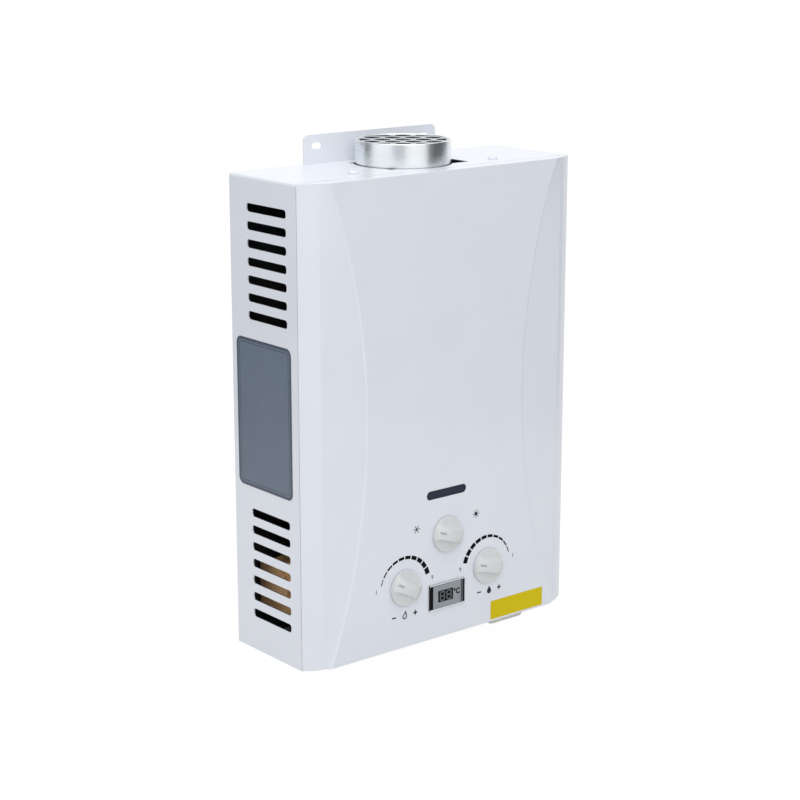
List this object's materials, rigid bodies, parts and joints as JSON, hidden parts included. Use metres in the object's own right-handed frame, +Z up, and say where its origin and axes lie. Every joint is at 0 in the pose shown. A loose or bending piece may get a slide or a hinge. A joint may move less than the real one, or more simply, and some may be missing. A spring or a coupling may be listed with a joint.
{
  "type": "gas water heater",
  "caption": "Wall-hung flued gas water heater: slim sheet-steel case with side louvres, hourglass front, three control knobs, display, top flue collar and battery bay below.",
  "frame": {"origin": "midway between the two hanging slots of the wall bracket, on the wall plane", "axes": "+Z up, -Y out of the wall towards the user (the front), +X to the user's right"},
  "size_m": [0.29, 0.1112, 0.442],
  "materials": {
    "case_enamel": "smooth cool-white enamel, semi-gloss",
    "galvanised": "zinc-coated sheet, matt spangle",
    "flue_aluminium": "bright rolled aluminium, fine lathe grain",
    "hood_steel": "bright rolled sheet",
    "copper": "drawn copper, slightly dulled",
    "burner_steel": "pressed stainless sheet",
    "cast_aluminium": "as-cast, satin",
    "gold_chromate": "yellow-passivated casting, satin",
    "brass": "machined brass, satin",
    "spindle_steel": "turned steel",
    "knob_white": "moulded white plastic, satin gloss",
    "bezel_silver": "bright metallised plastic",
    "module_grey": "moulded, matt with a dark read-out",
    "pane": "tinted heat-resistant glass",
    "lid_plastic": "moulded, fine texture",
    "ignition_plastic": "moulded, matt",
    "ceramic": "glazed ceramic",
    "rubber": "moulded rubber, matt",
    "cell_jacket": "shrink sleeve, glossy",
    "screw_steel": "bright zinc plate"
  },
  "bodies": {
    "case": {"case_wrap": "case_enamel", "front_cover": "case_enamel", "wall_bracket": "case_enamel", "back_panel": "galvanised", "bottom_panel": "galvanised", "hood_brackets": "galvanised", "burner_tray": "galvanised", "flue_collar": "flue_aluminium", "flue_grille": "flue_aluminium", "draft_hood": "hood_steel", "exchanger_shell": "copper", "exchanger_fins": "copper", "exchanger_tubes": "copper", "chamber_coil": "copper", "cold_pipe": "copper", "hot_pipe": "copper", "burner_bars": "burner_steel", "gas_manifold": "cast_aluminium", "season_valve": "cast_aluminium", "water_valve_cover": "cast_aluminium", "gas_valve_body": "gold_chromate", "gas_valve_cap": "gold_chromate", "gas_riser": "gold_chromate", "manifold_nozzles": "brass", "water_valve_body": "brass", "gas_inlet": "brass", "cold_inlet": "brass", "hot_outlet": "brass", "stub_nuts": "brass", "lid_pin": "spindle_steel", "return_spring": "spindle_steel", "battery_contacts": "spindle_steel", "display_bezel": "bezel_silver", "display_module": "module_grey", "window_pane": "pane", "battery_box": "lid_plastic", "ignition_box": "ignition_plastic", "microswitch": "ignition_plastic", "thermal_cutout": "ignition_plastic", "temperature_sensor": "ignition_plastic", "inlet_filter": "ignition_plastic", "spark_electrode": "ceramic", "flame_sensor": "ceramic", "diaphragm": "rubber", "battery_cells": "cell_jacket", "case_screws": "screw_steel"},
    "gas_control": {"gas_knob": "knob_white", "gas_spindle": "spindle_steel"},
    "water_control": {"water_knob": "knob_white", "water_spindle": "spindle_steel"},
    "season_control": {"season_knob": "knob_white", "season_spindle": "spindle_steel"},
    "battery_door": {"battery_lid": "lid_plastic"},
    "valve_rod": {"push_rod": "spindle_steel", "gas_poppet": "brass"},
    "switch_arm": {"switch_lever": "spindle_steel"}
  },
  "joints": [
    {"name": "gas_turn", "type": "hinge", "parent": "case", "child": "gas_control", "pos_m": [-0.046, -0.102, -0.361], "axis": [0, 1, 0], "range_deg": [-14, 134]},
    {"name": "water_turn", "type": "hinge", "parent": "case", "child": "water_control", "pos_m": [0.046, -0.102, -0.361], "axis": [0, 1, 0], "range_deg": [0, 146]},
    {"name": "season_turn", "type": "hinge", "parent": "case", "child": "season_control", "pos_m": [0, -0.102, -0.323], "axis": [0, 1, 0], "range_deg": [0, 140]},
    {"name": "lid_hinge", "type": "hinge", "parent": "case", "child": "battery_door", "pos_m": [0.0746, -0.0185, -0.4179], "axis": [1, 0, 0], "range_deg": [0, 100]},
    {"name": "rod_slide", "type": "slide", "parent": "case", "child": "valve_rod", "axis": [-1, 0, 0], "range_m": [0, 0.004], "stiffness_N_per_m": 300, "springref_m": -0.005, "deforming": ["return_spring"]},
    {"name": "lever_turn", "type": "hinge", "parent": "case", "child": "switch_arm", "pos_m": [-0.0097, -0.03, -0.3445], "axis": [0, 1, 0], "range_deg": [0, 19.9]}
  ],
  "couplings": [
    {"joint": "lever_turn", "follows": "rod_slide", "rad_per_m": 85.085}
  ]
}
